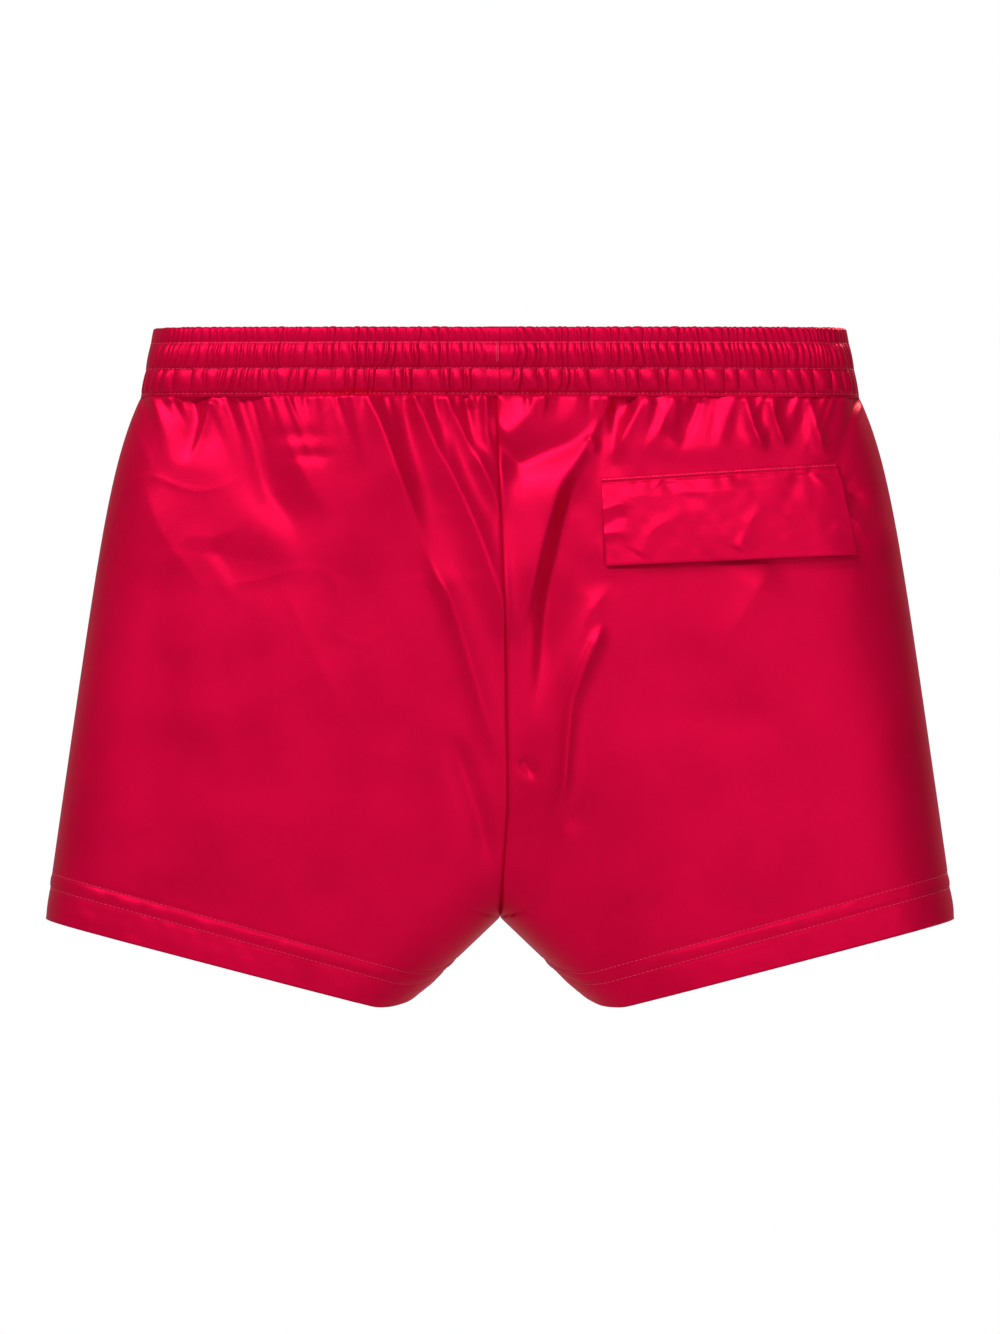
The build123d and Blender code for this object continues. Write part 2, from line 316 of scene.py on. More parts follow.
# Each fold: points down its length in mm, with x towards the wearer's left and z up from the waist's top,
# then its height, its widths to the left and right, and its fades at the start and the end
foldScale = 1.5
backFolds = [
    ([(73, -34), (63, -52), (56, -70), (47, -95), (35, -129)], 5.6, 30, 8, 0.01, 0.45),
    ([(42, -108), (35, -129), (28, -144), (22, -165), (16, -188), (10, -212), (4, -234)],
     2.2, 3.6, 9, 0.3, 0.25),
    ([(46, -34), (34, -62), (25, -79), (17, -97), (11, -113), (5, -133), (-1, -156), (-3, -172)],
     3.5, 10, 8, 0.02, 0.3),
    ([(29, -34), (18, -57), (11, -70), (5, -84), (0, -104)], 2.9, 6, 6, 0.02, 0.3),
    ([(15, -40), (14, -58), (9, -74)], -1.6, 3, 3, 0.1, 0.4),
    ([(5, -36), (6, -52), (3, -72)], 1.5, 2.4, 2.4, 0.05, 0.4),
    ([(138, -34), (130, -57), (122, -86), (108, -106), (99, -135)], -2.7, 8, 15, 0.02, 0.6),
    ([(120, -36), (112, -58), (100, -84), (86, -104)], 1.8, 16, 18, 0.02, 0.5),
    ([(166, -36), (160, -52), (168, -74)], -2.6, 5, 8, 0.05, 0.4),
    ([(153, -38), (156, -52), (164, -76)], 2.2, 4, 4, 0.1, 0.5),
    ([(154, -114), (144, -126), (130, -150)], -0.5, 2.5, 8, 0.3, 0.6),
    ([(190, -75), (180, -104), (166, -126), (146, -148)], 0.7, 14, 9, 0.3, 0.5),
    ([(28, -212), (16, -250), (5, -290)], -1.6, 5, 2.2, 0.25, 0.3),
    ([(-24, -34), (-14, -50), (0, -62)], 3.0, 14, 9, 0.02, 0.2),
    ([(-66, -36), (-43, -58), (-25, -66), (1, -76)], -3.2, 7, 8, 0.02, 0.15),
    ([(-60, -34), (-50, -54), (-40, -72), (-31, -86), (-22, -112), (-14, -140), (-5, -168)],
     3.8, 17, 5, 0.02, 0.25),
    ([(-45, -74), (-37, -92), (-30, -119), (-24, -142), (-21, -165), (-18, -188), (-10, -214)],
     -2.6, 3, 8, 0.2, 0.35),
    ([(-60, -134), (-47, -152), (-36, -178), (-24, -206)], 1.6, 6, 10, 0.3, 0.4),
    ([(-56, -155), (-47, -172), (-42, -183), (-36, -200), (-33, -226), (-31, -244), (-21, -268)],
     2.6, 3.6, 6, 0.12, 0.25),
    ([(-7, -228), (-11, -233), (-17, -240)], -1.1, 1.6, 2.4, 0.15, 0.5),
    ([(-145, -122), (-128, -152), (-104, -186)], 1.8, 26, 20, 0.3, 0.5),
    ([(-179, -82), (-188, -89), (-197, -93)], -1.9, 3, 3.5, 0.2, 0.5),
    ([(-181, -97), (-188, -104), (-196, -110)], 1.5, 4, 5, 0.2, 0.5),
    ([(-78, -37), (-70, -50), (-57, -74)], 2.2, 4, 5, 0.05, 0.3),
    ([(-91, -37), (-86, -50), (-76, -70)], 1.8, 3, 5, 0.05, 0.4),
    ([(-103, -37), (-98, -50), (-90, -62)], -1.5, 4, 5, 0.05, 0.4),
    ([(-129, -37), (-133, -52), (-140, -68)], 2.0, 4, 3, 0.05, 0.3),
    ([(-142, -37), (-146, -52), (-151, -66)], 1.4, 3, 3, 0.05, 0.3),
    ([(-163, -37), (-166, -52), (-172, -70)], 1.8, 3, 3, 0.05, 0.3),
    ([(-46, -58), (-50, -63), (-47, -67)], 1.3, 2.0, 1.6, 0.2, 0.4),
    ([(-39, -258), (-26, -284), (-13, -305)], 1.0, 4, 5, 0.2, 0.4),
    ([(118, -128), (96, -176), (70, -224)], 1.0, 20, 24, 0.3, 0.5),
]
# Each hollow or swelling: middle, height, half width and half length
backDents = [
    ((106, -58), -0.7, 14, 4),
    ((100, -69), -0.8, 9, 3.4),
    ((78, -112), 2.4, 36, 30),
    ((172, -112), 1.7, 26, 30),
    ((-104, -64), 1.8, 30, 8),
    ((-58, -92), 1.6, 7, 14),
    ((-62, -120), 1.6, 16, 12),
    ((-200, -112), 1.6, 10, 12),
    ((-112, -206), -1.0, 26, 12),
    ((40, -96), -0.8, 8, 16),
    ((112, -186), 0.8, 44, 40),
    ((-64, -240), 1.2, 30, 40),
]
frontFolds = [
    ([(64, -34), (54, -66), (42, -104), (30, -150)], 3.6, 12, 7, 0.02, 0.45),
    ([(33, -34), (26, -70), (14, -110), (4, -150)], 2.8, 7, 8, 0.05, 0.4),
    ([(-6, -36), (-12, -70), (-8, -112)], -1.6, 4, 5, 0.05, 0.4),
    ([(112, -34), (104, -66), (92, -100)], -2.8, 8, 12, 0.02, 0.5),
    ([(148, -36), (144, -60), (128, -96)], 2.4, 6, 10, 0.05, 0.5),
    ([(-46, -34), (-40, -68), (-28, -108), (-12, -154)], 3.3, 8, 11, 0.05, 0.4),
    ([(-88, -34), (-80, -70), (-64, -108)], -2.6, 10, 7, 0.02, 0.5),
    ([(-140, -36), (-132, -64), (-116, -96)], 2.2, 9, 6, 0.05, 0.5),
    ([(-172, -60), (-160, -92), (-136, -128)], 1.4, 8, 8, 0.1, 0.5),
    ([(64, -166), (40, -214), (16, -264)], 1.8, 8, 4, 0.3, 0.3),
    ([(-66, -158), (-44, -210), (-18, -262)], 2.0, 5, 9, 0.3, 0.3),
    ([(4, -215), (30, -258), (46, -300)], -0.9, 6, 6, 0.2, 0.5),
    ([(150, -150), (118, -190), (80, -226)], 1.1, 16, 20, 0.3, 0.5),
]
frontDents = [((120, -120), 1.6, 30, 22), ((-110, -128), 1.6, 34, 20), ((-40, -84), -0.9, 14, 10)]
seam = {
    "groove": 0.8 * mm,
    "halfWidth": 0.9 * mm,
    "ridge": 0.35 * mm,
    "ridgeWidth": 3.2 * mm,
    "depths": (37, 75, 145, 220, 255, 290, 312),  # the middle seam wanders sideways on its way down
    "shifts": (2.2, 0.5, -2.6, -4.0, -4.2, -1.5, 0),
    "reach": 34 * mm,
}
pocket = {
    "flapMiddle": 115.5 * mm,
    "flapTop": -79 * mm,
    "tilt": radians(3.7),
    "flapWidth": 125 * mm,
    "flapHeight": 44 * mm,
    "splay": 3.5 * mm,
    "lean": 0.065,  # the flap's foot stands off to the right, and is lower there
    "drop": 0.03,
    "calm": 0.22,  # share of the folds that is left under the flap
    "calmEnd": (3 * mm, 7 * mm),  # how far that reaches past the flap, and over how far it fades
    "calmTop": (2 * mm, 3 * mm),
    "calmFoot": (5 * mm, 8 * mm),
}
gather = {
    "from": 198 * mm,
    "step": (3.5, 9),
    "width": (1.1, 3.0),
    "lengths": (8, 13, 21, 38),
    "lengthShares": (0.3, 0.3, 0.25, 0.15),
    "height": (0.6, 1.9),
    "outwardShare": 0.45,
    "lean": 0.45,
    "leanOver": 190 * mm,
    "slant": 0.16,
    "spreadOver": 30 * mm,
    "fadePower": 1.5,
}
softness = {
    "upper": (250 * mm, 150 * mm),
    "least": 0.3,  # share of the softness that the lower cloth keeps
    "wide": (46 * mm, 0.8),
    "fine": (15 * mm, 0.2),
    "bend": 9 * mm,
    "bendSizes": (30 * mm, 27 * mm),
    "crumple": (31 * mm, 0.24 * mm),
    "crumplePower": 9,
    "patch": (60 * mm, 0.5),
}



def seamShift(x, z):
    wander = np.interp(-z, np.array(seam["depths"]) * mm, np.array(seam["shifts"]) * mm)
    return wander * bell(x, 0, seam["reach"])


def gathers(x, z, seed):
    # Puckers that fan out below the waistband and die away downwards
    draw = np.random.RandomState(seed)
    down = bandFoot - z
    total = np.zeros(x.shape)
    at = -gather["from"]
    while at < gather["from"]:
        at += draw.uniform(*gather["step"]) * mm
        width = draw.uniform(*gather["width"]) * mm
        length = draw.choice(gather["lengths"], p=gather["lengthShares"]) * mm
        height = draw.uniform(*gather["height"]) * mm * (1 if draw.rand() < gather["outwardShare"] else -1)
        slant = draw.uniform(-gather["slant"], gather["slant"]) - gather["lean"] * at / gather["leanOver"]
        off = x - at - slant * down
        spread = width * (1 + np.maximum(down, 0) / gather["spreadOver"])
        fade = np.exp(-((np.maximum(down, 0) / length) ** gather["fadePower"]))
        total += height * fade * bell(off, 0, spread)
    return total


def flapPlace(x, z):
    # Distance along the flap from its middle, and down from its top edge; the flap is on the right
    dx, dz = -x - pocket["flapMiddle"], z - pocket["flapTop"]
    c, s = np.cos(pocket["tilt"]), np.sin(pocket["tilt"])
    return dx * c + dz * s, dx * s - dz * c


def underFlap(x, z):
    # From 0 well clear of the flap to 1 behind it
    along, down = flapPlace(x, z)
    share = 1
    for inside, (past, over) in (
        (pocket["flapWidth"] / 2 - np.abs(along), pocket["calmEnd"]),
        (down, pocket["calmTop"]),
        (pocket["flapHeight"] - down, pocket["calmFoot"]),
    ):
        share = share * smooth((inside + past) / over)
    return share


def relief(x, z, back):
    # How far the cloth stands out from the plain shape, by place
    folds, dents = (backFolds, backDents) if back else (frontFolds, frontDents)
    total = gathers(x, z, 11 if back else 23)
    for points, height, left, right, fadeIn, fadeOut in folds:
        total += foldRelief(x, z, points, foldScale * height, left, right, fadeIn, fadeOut)
    for at, height, across, down in dents:
        total += dent(x, z, at, height, across, down)
    seed = 3 if back else 9
    start, over = softness["upper"]
    upper = smooth((z + start) / over)
    wideSize, wide = softness["wide"]
    fineSize, fine = softness["fine"]
    soft = wide * noise(x + 0.5 * z, z * 0.55, wideSize, seed)
    soft += fine * noise(x - 0.35 * z, z * 0.6, fineSize, seed + 1)
    total += mm * soft * (softness["least"] + (1 - softness["least"]) * upper)
    sizes = enumerate(softness["bendSizes"])
    bendX, bendZ = (softness["bend"] * noise(x, z, size, seed + 7 + i) for i, size in sizes)
    size, height = softness["crumple"]
    crumple = 1 - np.abs(noise(x + 0.3 * z + bendX, z + bendZ, size, seed + 2))
    size, more = softness["patch"]
    patchy = smooth(noise(x, z, size, seed + 9) + more)
    total += height * crumple ** softness["crumplePower"] * patchy * upper
    if back:
        total *= 1 - (1 - pocket["calm"]) * underFlap(x, z)
    return total


def seamRelief(distance):
    # A sewn seam is a narrow groove with a low ridge of turnings each side
    ridge = seam["ridge"] * bell(distance, 0, seam["ridgeWidth"])
    return ridge - seam["groove"] * bell(distance, 0, seam["halfWidth"])


def placed(name, data):
    item = bpy.data.objects.new(name, data)
    bpy.context.scene.collection.objects.link(item)
    return item


def meshFrom(name, verts, faces, uvs=None):
    data = bpy.data.meshes.new(name)
    data.from_pydata([tuple(v) for v in verts], [], faces)
    piece = placed(name, data)
    if uvs is not None:
        layer = data.uv_layers.new(name="clothMetres")
        index = np.zeros(len(data.loops), int)
        data.loops.foreach_get("vertex_index", index)
        layer.data.foreach_set("uv", np.array(uvs)[index].astype(np.float32).ravel())
    data.polygons.foreach_set("use_smooth", [True] * len(data.polygons))
    return piece


def closedSheet(name, outer, inner, flip):
    # A sheet of cloth with both its faces and its edges, from two grids of points
    rows, columns = outer.shape[:2]
    n = rows * columns
    index = np.arange(n).reshape(rows, columns)
    a, b = index[:-1, :-1].ravel(), index[:-1, 1:].ravel()
    c, d = index[1:, 1:].ravel(), index[1:, :-1].ravel()
    front = np.stack([a, b, c, d], 1)
    back = np.stack([d, c, b, a], 1) + n
    edge = np.concatenate([index[0, :-1], index[:-1, -1], index[-1, :0:-1], index[:0:-1, 0]])
    following = np.roll(edge, -1)
    rim = np.stack([following, edge, edge + n, following + n], 1)
    faces = np.concatenate([front, back, rim])
    if not flip:
        faces = faces[:, ::-1]
    uv = np.stack([runAlong(outer, 1).ravel(), runAlong(outer).ravel()], 1)
    verts = np.concatenate([outer.reshape(-1, 3), inner.reshape(-1, 3)])
    return meshFrom(name, verts, faces.tolist(), np.concatenate([uv, uv]))


def select(*pieces):
    bpy.ops.object.select_all(action="DESELECT")
    for piece in pieces:
        piece.select_set(True)
    bpy.context.view_layer.objects.active = pieces[0]


def closeUp(piece, distance=0.02 * mm):
    # Merges points that meet, as where a grid comes to a corner, and turns the faces outwards
    select(piece)
    bpy.ops.object.mode_set(mode="EDIT")
    bpy.ops.mesh.select_all(action="SELECT")
    bpy.ops.mesh.remove_doubles(threshold=distance)
    bpy.ops.mesh.normals_make_consistent(inside=False)
    bpy.ops.object.mode_set(mode="OBJECT")
    piece.select_set(False)


def cutWith(piece, cutters):
    # Cuts holes with other meshes, which are then thrown away
    for cutter in cutters:
        select(piece)
        cut = piece.modifiers.new("cut", "BOOLEAN")
        cut.operation = "DIFFERENCE"
        cut.solver = "EXACT"
        cut.object = cutter
        bpy.ops.object.modifier_apply(modifier="cut")
    for cutter in cutters:
        bpy.data.objects.remove(cutter, do_unlink=True)
    piece.data.polygons.foreach_set("use_smooth", [True] * len(piece.data.polygons))


panel = {
    "back": (232, 196),  # rows and columns of points
    "front": (180, 150),
    "levels": 420,
    "past": 4 * mm,
    "rowEase": 0.06,
    "sideCalm": 16 * mm,  # the folds die away at the side seam and the inner leg
    "innerLegCalm": 18 * mm,
    "tuckDepth": 0.6 * mm,
}
hem = {
    "rows": (16.4 * mm, 24.0 * mm),
    "pinch": (0.4 * mm, 0.9 * mm),  # height and width
    "swell": (0.35 * mm, 3.2 * mm),
    "lowSwell": (0.28 * mm, 6 * mm, 8 * mm),  # height, width and place above the edge
    "ripple": (0.22 * mm, 6 * mm),
    "rippleTop": (30 * mm, 8 * mm),
    "stepDown": 0.7 * mm,
}


def panelGrid(back):
    # Plain grid of a quarter of the shell, drawn for the back left
    fullness = shape["seatFullness"] if back else shape["frontFullness"]
    top = bandFoot + shape["seamTuck"]
    levels = np.linspace(top, -shape["sideLength"] - panel["past"], panel["levels"])
    rows, columns = panel["back" if back else "front"]
    rows = np.linspace(0, 1, rows)
    return cutAtHem(legGrid(levels, columns, fullness), rows - panel["rowEase"] * rows * (1 - rows))


def hemHeight(grid):
    # Distance up from the hem, square to it, for each point of a panel
    return runAlong(grid[::-1])[::-1] * np.cos(np.arctan(hemSlope) * 0.6)


def hemRelief(up, x):
    # The stitches pinch the double cloth, which swells a little between them
    height, width = hem["swell"]
    total = height * bell(up, sum(hem["rows"]) / 2, width)
    height, width, at = hem["lowSwell"]
    total += height * bell(up, at, width)
    height, width = hem["pinch"]
    for at in hem["rows"]:
        total -= height * bell(up, at, width)
    height, size = hem["ripple"]
    top, over = hem["rippleTop"]
    return total + noise(x, up, size, 37) * height * smooth((top - up) / over)


def makePanel(name, back, left):
    grid = panelGrid(back)
    normal = gridNormals(grid)
    normal[:, 0, 1] = 0
    middle = grid[:, -1, 0] < 1e-6
    normal[middle, -1, 0] = 0
    normal[~middle, -1, 1] = 0
    normal = unit(normal)
    sign = np.array([1 if left else -1, 1 if back else -1, 1])
    grid, normal = grid * sign, normal * sign
    if (normal[60, 40] * sign)[1] < 0:
        normal = -normal
    x, z = grid[..., 0], grid[..., 2]
    lift = relief(x, z, back)
    fromSide = runAlong(grid, 1)
    fromLast = fromSide[:, -1:] - fromSide
    lift *= smooth(fromSide / panel["sideCalm"])
    innerLeg = (~middle)[:, None] * np.ones(x.shape)
    lift *= 1 - innerLeg * (1 - smooth(fromLast / panel["innerLegCalm"]))
    lift += seamRelief(fromSide) + seamRelief(fromLast)
    tuck = smooth((z - bandFoot + 1.0 * mm) / (2 * mm))
    lift = lift * (1 - tuck) - panel["tuckDepth"] * tuck
    up = hemHeight(grid)
    lift += hemRelief(up, x)
    outer = grid + normal * lift[..., None]
    outer[..., 0] += seamShift(x, z)
    thick = shape["cloth"] * (1 + smooth((shape["hemDepth"] - up) / hem["stepDown"]))
    piece = closedSheet(name, outer, outer - normal * thick[..., None], flip=(left == back))
    closeUp(piece)
    return piece, outer, normal, up


def newMaterial(name, color, roughness, metallic=0.0):
    material = bpy.data.materials.new(name)
    material.use_nodes = True
    shader = material.node_tree.nodes["Principled BSDF"]
    shader.inputs["Base Color"].default_value = (*color, 1)
    shader.inputs["Roughness"].default_value = roughness
    shader.inputs["Metallic"].default_value = metallic
    return material, material.node_tree, shader


def objectPlace(tree):
    return tree.nodes.new("ShaderNodeTexCoord").outputs["Object"]


def clothPlace(tree):
    uv = tree.nodes.new("ShaderNodeUVMap")
    uv.uv_map = "clothMetres"
    return uv.outputs["UV"]


def addNoise(tree, vector, scale, detail=2):
    cloud = tree.nodes.new("ShaderNodeTexNoise")
    cloud.inputs["Scale"].default_value = scale
    cloud.inputs["Detail"].default_value = detail
    tree.links.new(vector, cloud.inputs["Vector"])
    return cloud.outputs["Fac"]


def addWave(tree, vector, direction, pitch, wobble):
    # Bands across the cloth, one to each pitch
    wave = tree.nodes.new("ShaderNodeTexWave")
    wave.bands_direction = direction
    wave.inputs["Scale"].default_value = 0.314 / pitch
    wave.inputs["Distortion"].default_value = wobble
    wave.inputs["Detail Scale"].default_value = 3
    tree.links.new(vector, wave.inputs["Vector"])
    return wave.outputs["Fac"]


def addMath(tree, operation, first, second):
    node = tree.nodes.new("ShaderNodeMath")
    node.operation = operation
    for socket, value in zip(node.inputs, (first, second)):
        if isinstance(value, (int, float)):
            socket.default_value = value
        else:
            tree.links.new(value, socket)
    return node.outputs[0]


def addRange(tree, value, low, high, newLow, newHigh):
    node = tree.nodes.new("ShaderNodeMapRange")
    for name, number in (("From Min", low), ("From Max", high), ("To Min", newLow), ("To Max", newHigh)):
        node.inputs[name].default_value = number
    tree.links.new(value, node.inputs["Value"])
    return node.outputs["Result"]


def addMix(tree, factor, first, second, target):
    mix = tree.nodes.new("ShaderNodeMix")
    mix.data_type = "RGBA"
    mix.inputs["A"].default_value = (*first, 1)
    mix.inputs["B"].default_value = (*second, 1)
    tree.links.new(factor, mix.inputs["Factor"])
    tree.links.new(mix.outputs["Result"], target)


def addBump(tree, height, strength, distance, shader):
    bump = tree.nodes.new("ShaderNodeBump")
    bump.inputs["Strength"].default_value = strength
    bump.inputs["Distance"].default_value = distance
    tree.links.new(height, bump.inputs["Height"])
    tree.links.new(bump.outputs["Normal"], shader.inputs["Normal"])


satinLook = {
    "red": (0.60, 0.0008, 0.040),
    "deep": (0.53, 0.0006, 0.034),
    "metallic": 0.5,
    "roughness": (0.36, 0.46),
    "warp": 0.42 * mm,  # pitch of the weave's ribs
    "weft": 0.75 * mm,
    "weave": 0.12,
    "weaveDepth": 0.2 * mm,
    "cloud": 22,  # scale of the slow changes in tone and gloss
    "slub": 900,
    "gloss": {
        "Specular IOR Level": 0.18,
        "Specular Tint": (1.0, 0.2, 0.35, 1),
        "Sheen Weight": 0.06,
        "Sheen Roughness": 0.4,
        "Sheen Tint": (1.0, 0.08, 0.2, 1),
    },
}


def satin(name, tone=1.0):
    # Long smooth floats one way, fine ribs the other, and a soft coloured gloss
    material, tree, shader = newMaterial(name, satinLook["red"], 0.42, satinLook["metallic"])
    for socket, value in satinLook["gloss"].items():
        shader.inputs[socket].default_value = value
    place, uv = objectPlace(tree), clothPlace(tree)
    cloud = addNoise(tree, place, satinLook["cloud"], 4)
    # tone scales the whole colour: below 1 gives a copy with painted shade, above 1 a copy with painted light
    deep = [tone * value for value in satinLook["deep"]]
    red = [tone * value for value in satinLook["red"]]
    shade = addRange(tree, cloud, 0.3, 0.62, 0, 1)
    addMix(tree, shade, deep, red, shader.inputs["Base Color"])
    warp = addWave(tree, uv, "X", satinLook["warp"], 2.0)
    weft = addWave(tree, uv, "Y", satinLook["weft"], 2.5)
    slub = addNoise(tree, place, satinLook["slub"], 2)
    height = addMath(tree, "ADD", addMath(tree, "MULTIPLY", warp, 0.5), weft)
    height = addMath(tree, "ADD", height, slub)
    addBump(tree, height, satinLook["weave"], satinLook["weaveDepth"], shader)
    tree.links.new(addRange(tree, cloud, 0.3, 0.7, *satinLook["roughness"]), shader.inputs["Roughness"])
    return material


def finish(piece, material, node=None, rides="shorts"):
    piece.data.materials.clear()
    piece.data.materials.append(material)
    if rides:
        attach(piece, rides)
    if node:
        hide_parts(node)
    return piece


shellSatin = satin("shellSatin")
# The waistband's copy of the satin is painted 8% darker, as painted shade; the cloth itself is the same satin
bandSatinPaintedDarker = satin("bandSatinPaintedDarker", 0.92)
# The flap's copy of the satin is painted 8% lighter, as painted light for the flap catching more light; the flap
# lining and the pocket bag use it too
flapSatinPaintedLighter = satin("flapSatinPaintedLighter", 1.08)

panels = {}
for place, back in (("back", True), ("front", False)):
    for side, left in (("left", True), ("right", False)):
        name = place + "Panel" + side.capitalize()
        panels[place, side] = makePanel(name, back, left)
        finish(panels[place, side][0], shellSatin, f"{place}_panel_{side}")
print("panels made")

band = {
    "rowTops": (0.0, 8.8 * mm, 22.3 * mm, 35.2 * mm),  # where its three rolls meet
    "stitchRows": (8.8 * mm, 22.3 * mm, 35.5 * mm),
    "swell": (1.3 * mm, 3.4 * mm, 2.5 * mm),
    "pleat": (0.8 * mm, 1.0 * mm, 1.5 * mm),
    "pleatStep": ((1.5 * mm, 5.6 * mm), (1.5 * mm, 5.6 * mm), (1.9 * mm, 10.5 * mm)),
    "pleatReach": (-6 * mm, 270 * mm),
    "crest": (0.4, 1.0),
    "warp": ((1.2 * mm, 12 * mm), (0.5 * mm, 5 * mm)),
    "sideFade": 30 * mm,  # the rolls are flatter at the side seams
    "thick": 4.4 * mm,
    "wall": 0.45 * mm,
    "fold": 1.1 * mm,  # the top edge turns over this far down
    "standOff": 0.25 * mm,  # of the gathered cloth from its plain surface
    "ripple": 0.6 * mm,
    "rows": (50, 26),  # outer and inner wall
    "columns": {"back": 440, "front": 360, "insert": 150},
    "plainSide": 1.5 * mm,
    "plainFront": 2 * mm,
    "plainMiddle": 8 * mm,  # half of the ungathered stretch over the back seam
    "insertHalf": 36.7 * mm,  # half of the plain piece in the middle of the front
    "insertLift": 0.8 * mm,
    "insertEase": (1.5 * mm, 3 * mm),
    "eyelets": (22 * mm, 40.2 * mm, 14 * mm, 2.9 * mm),  # x, depth, height below the top, radius
}


def bandBase(a, z):
    # Plain surface of the waistband and its outward direction, for the back left
    share = -z / shape["bandHeight"]
    width = shape["topHalfWidth"] + share * (float(halfWidth(bandFoot)) - shape["topHalfWidth"])
    depth = shape["waistHalfDepth"]
    point = np.stack([width * ringX(a), depth * ringY(a), z + 0 * a], -1)
    turn = 1e-4
    tangent = [half * (ring(a + turn) - ring(a - turn)) for half, ring in ((width, ringX), (depth, ringY))]
    tangent = unit(np.stack(tangent, -1))
    return point, np.stack([tangent[..., 1], -tangent[..., 0], 0 * a], -1)


def bandRun(firstAngle, lastAngle, columns):
    # Even steps round part of the waist, as angles and as lengths from its start
    a = np.linspace(firstAngle, lastAngle, 801)
    point = bandBase(a, 0)[0]
    run = runAlong(point)
    want = np.linspace(0, run[-1], columns)
    return np.interp(want, run, a), want


def pleats(run, z, seed, step):
    # Rounded gathers with sharp valleys, from 0 in a valley to 1 on a crest
    draw = np.random.RandomState(seed)
    first, last = band["pleatReach"]
    marks = [first]
    while marks[-1] < last:
        marks.append(marks[-1] + draw.uniform(*step))
    marks = np.array(marks)
    crest = draw.uniform(*band["crest"], len(marks))
    warped = run + sum(far * noise(run, z, size, seed + 5 + i) for i, (far, size) in enumerate(band["warp"]))
    i = np.clip(np.searchsorted(marks, warped) - 1, 0, len(marks) - 2)
    t = np.clip((warped - marks[i]) / (marks[i + 1] - marks[i]), 0, 1)
    return crest[i] * (4 * t * (1 - t)) ** 0.6


def bandLift(run, z, gathered, seed):
    # How far the outer wall stands out, by length round the waist and height
    down = -z
    lift = np.zeros(run.shape)
    tops = band["rowTops"]
    for k in range(3):
        t = (down - tops[k]) / (tops[k + 1] - tops[k])
        arch = np.sqrt(np.clip(4 * t * (1 - t), 0, 1))
        crest = pleats(run, z + 0 * run, seed + 60 * (k == 2), band["pleatStep"][k])
        swell = band["swell"][k] * arch * (1 - gathered * 0.3 * (1 - crest))
        swell = swell * (0.1 + 0.9 * smooth(run / band["sideFade"]))
        fold = band["pleat"][k] * (0.35 + 0.65 * arch) * (crest - 0.65) * gathered
        lift = np.where((t >= 0) & (t <= 1), swell + fold, lift)
    return lift


def makeBand(name, a, run, gathered, plain, seed, sign):
    # A stretch of the casing: outer wall, fold over the top, inner wall
    outerZ = -np.linspace(shape["bandHeight"] + 0.4 * mm, band["fold"], band["rows"][0])
    innerZ = -np.linspace(band["fold"], shape["bandHeight"] - 0.2 * mm, band["rows"][1])
    half = band["thick"] / 2
    fromEdge, over = band["insertEase"]
    lines = []
    for z in outerZ:
        point, normal = bandBase(a, z)
        lift = bandLift(run, z, gathered, seed)
        level = band["insertLift"] * smooth((-z - fromEdge) / over) * smooth((z - bandFoot - fromEdge) / over)
        lift = (lift + band["standOff"]) * (1 - plain) + level * plain
        lines.append(point + normal * lift[:, None])
    crest = pleats(run, 0 * run, seed, band["pleatStep"][0])
    ripple = (crest - 0.6) * band["ripple"] * gathered
    for angle in np.linspace(0, pi, 9)[1:-1]:
        point, normal = bandBase(a, band["fold"] * (np.sin(angle) - 1))
        lift = 0.3 * mm * (1 - plain) - half + half * np.cos(angle)
        rise = np.stack([0 * a, 0 * a, (ripple - 0.3 * mm) * np.sin(angle)], -1)
        lines.append(point + normal * lift[:, None] + rise)
    for z in innerZ:
        point, normal = bandBase(a, z)
        lift = bandLift(run, z, gathered, seed + 40) * (0.12 + 0.3 * gathered)
        lines.append(point - normal * (band["thick"] - 0.4 * mm + lift)[:, None])
    outer = np.array(lines)
    normal = -gridNormals(outer)
    out = bandBase(a, outerZ[20])[1]
    if (normal[20] * out).sum() < 0:
        normal = -normal
    for end, axis in ((0, 1), (-1, 0)):  # ends on a plane of symmetry keep their edges in it
        if abs(outer[0, end, axis]) < solving["tiny"]:
            normal[:, end, axis] = 0
    normal = unit(normal)
    sign = np.array(sign)
    inner = outer - normal * band["wall"]
    piece = closedSheet(name, outer * sign, inner * sign, flip=sign[0] * sign[1] > 0)
    closeUp(piece, 0.005 * mm)
    return piece, outer * sign, normal * sign, outerZ


bands = {}
insertAngle = float(angleAt(np.array(band["insertHalf"] / shape["topHalfWidth"])))
for i, (place, side) in enumerate(panels):
    back = place == "back"
    a, run = bandRun(0, pi / 2 if back else insertAngle, band["columns"][place])
    ends = band["plainMiddle" if back else "plainFront"]
    gathered = 1 - np.exp(-(((run[-1] - run) / ends) ** 4))
    gathered = gathered * (1 - 0.75 * bell(run, 0, band["plainSide"]))
    sign = (1 if side == "left" else -1, 1 if back else -1, 1)
    name = "waistband" + place.capitalize() + side.capitalize()
    bands[place, side] = makeBand(name, a, run, gathered, 0 * a, 50 + 3 * i, sign)
    finish(bands[place, side][0], bandSatinPaintedDarker, f"waistband_{place}_{side}")

a, run = bandRun(insertAngle, pi - insertAngle, band["columns"]["insert"])
edge = np.minimum(run, run[-1] - run)
bands["insert"] = makeBand("waistbandInsert", a, run, 0 * a, smooth(edge / (9 * mm)), 90, (1, -1, 1))
insert = bands["insert"][0]
holes = []
x, y, down, radius = band["eyelets"]
for place in ((-x, -y, -down), (x, -y, -down)):
    bpy.ops.mesh.primitive_cylinder_add(
        vertices=48, radius=radius, depth=3 * mm, location=place, rotation=(pi / 2, 0, 0)
    )
    holes.append(bpy.context.object)
cutWith(insert, holes)
finish(insert, bandSatinPaintedDarker, "waistband_front_middle")
print("waistband made")

